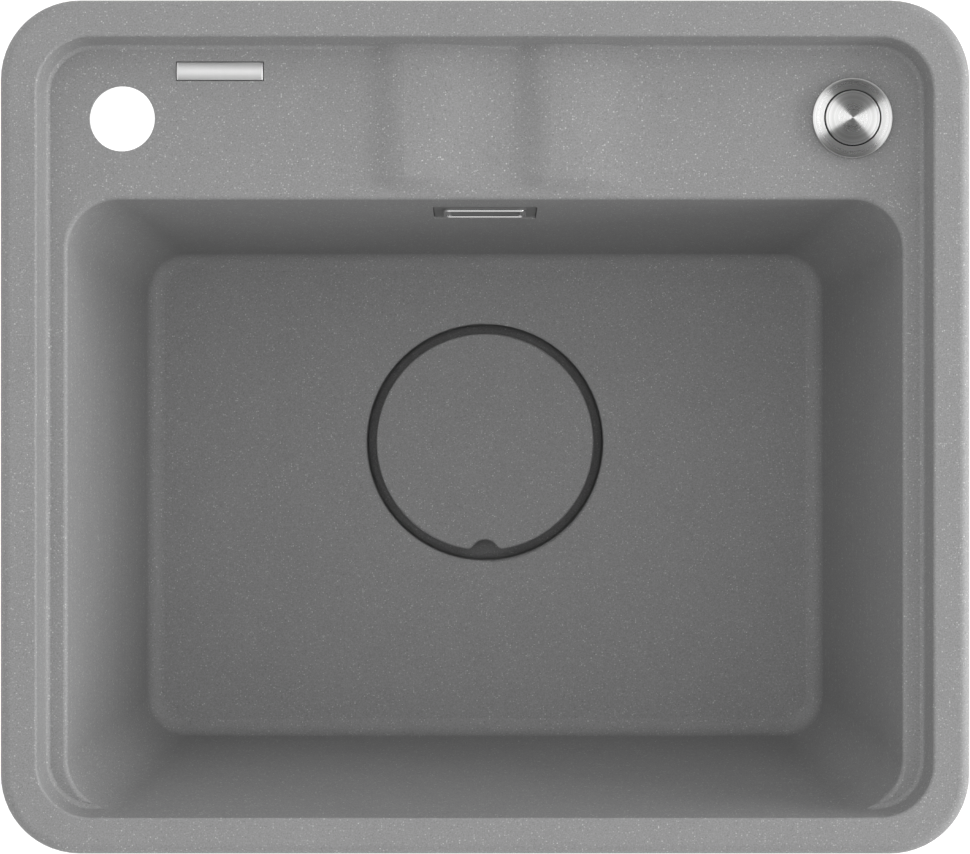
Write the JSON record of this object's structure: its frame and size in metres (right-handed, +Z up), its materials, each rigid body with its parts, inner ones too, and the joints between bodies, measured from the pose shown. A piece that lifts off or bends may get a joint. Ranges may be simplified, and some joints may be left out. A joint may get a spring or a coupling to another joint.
{
  "type": "kitchen sink",
  "caption": "Inset kitchen sink moulded in grey granite composite: one deep bowl, rear deck with tap hole, pop-up control, hidden waste under a stone cover, and slot overflow.",
  "frame": {"origin": "centre of the rim's outline, on the underside of the rim where it rests on the worktop", "axes": "+Z up out of the worktop, +Y towards the wall behind the sink, +X to the right"},
  "size_m": [0.512, 0.451, 0.335],
  "materials": {
    "granite": "fine matt, speckled",
    "steel": "satin",
    "chrome": "polished",
    "grey_plastic": "matt",
    "dark_plastic": "matt",
    "pale_plastic": "satin",
    "rubber": "matt",
    "brass": "satin",
    "clip_steel": "satin"
  },
  "bodies": {
    "sink": {"bar_pad": "rubber", "basin": "granite", "body_gasket": "rubber", "clamp_bolt": "steel", "clip_inserts": "brass", "clip_screws": "steel", "clip_sleeves": "dark_plastic", "control_gasket": "rubber", "control_gland": "dark_plastic", "control_nut": "dark_plastic", "control_ring": "steel", "control_sleeve": "dark_plastic", "control_spring": "steel", "control_washer": "rubber", "deck_bar": "steel", "flange_gasket": "rubber", "overflow_elbow": "dark_plastic", "overflow_gasket": "rubber", "overflow_pipe": "pale_plastic", "overflow_plate": "grey_plastic", "overflow_ring": "chrome", "overflow_screws": "steel", "pipe_nuts": "dark_plastic", "pipe_seals": "rubber", "rim_seal": "rubber", "shaft_cap": "dark_plastic", "shaft_seal": "rubber", "waste_body": "pale_plastic", "waste_cup": "steel", "waste_gland": "dark_plastic"},
    "button": {"control_button": "steel", "control_plunger": "steel", "cable_anchor": "brass"},
    "plug": {"plug": "dark_plastic", "plug_seal": "rubber", "lift_pin": "steel"},
    "lever": {"lift_lever": "dark_plastic", "lever_shaft": "steel", "cable_crank": "dark_plastic"},
    "cover": {"drain_cover": "granite", "cover_feet": "rubber"},
    "clip_1": {"clip_jaw_1": "clip_steel"},
    "clip_2": {"clip_jaw_2": "clip_steel"},
    "clip_3": {"clip_jaw_3": "clip_steel"},
    "clip_4": {"clip_jaw_4": "clip_steel"},
    "clip_5": {"clip_jaw_5": "clip_steel"},
    "clip_6": {"clip_jaw_6": "clip_steel"}
  },
  "joints": [
    {"name": "button_press", "type": "slide", "parent": "sink", "child": "button", "axis": [0, 0, -1], "range_m": [0, 0.008], "stiffness_N_per_m": 400, "springref_m": -0.006, "deforming": ["control_spring"]},
    {"name": "plug_lift", "type": "slide", "parent": "sink", "child": "plug", "axis": [0, 0, 1], "range_m": [0, 0.009]},
    {"name": "lever_swing", "type": "hinge", "parent": "sink", "child": "lever", "pos_m": [0, 0.0189, -0.2723], "axis": [-1, 0, 0], "range_deg": [0, 18.75]},
    {"name": "cover_lift", "type": "slide", "parent": "sink", "child": "cover", "axis": [0, 0, 1], "range_m": [0, 0.25]},
    {"name": "clip_swing_1", "type": "hinge", "parent": "sink", "child": "clip_1", "pos_m": [0.2355, -0.11, -0.043], "axis": [0, 0, 1], "range_deg": [0, 90]},
    {"name": "clip_swing_2", "type": "hinge", "parent": "sink", "child": "clip_2", "pos_m": [-0.2355, -0.11, -0.043], "axis": [0, 0, 1], "range_deg": [0, 90]},
    {"name": "clip_swing_3", "type": "hinge", "parent": "sink", "child": "clip_3", "pos_m": [0.2355, 0.06, -0.043], "axis": [0, 0, 1], "range_deg": [0, 90]},
    {"name": "clip_swing_4", "type": "hinge", "parent": "sink", "child": "clip_4", "pos_m": [-0.2355, 0.06, -0.043], "axis": [0, 0, 1], "range_deg": [0, 90]},
    {"name": "clip_swing_5", "type": "hinge", "parent": "sink", "child": "clip_5", "pos_m": [-0.12, 0.205, -0.043], "axis": [0, 0, 1], "range_deg": [0, 90]},
    {"name": "clip_swing_6", "type": "hinge", "parent": "sink", "child": "clip_6", "pos_m": [0.12, 0.205, -0.043], "axis": [0, 0, 1], "range_deg": [0, 90]}
  ],
  "couplings": [
    {"joint": "plug_lift", "follows": "button_press", "ratio": 1.125},
    {"joint": "lever_swing", "follows": "button_press", "rad_per_m": 40.905}
  ]
}
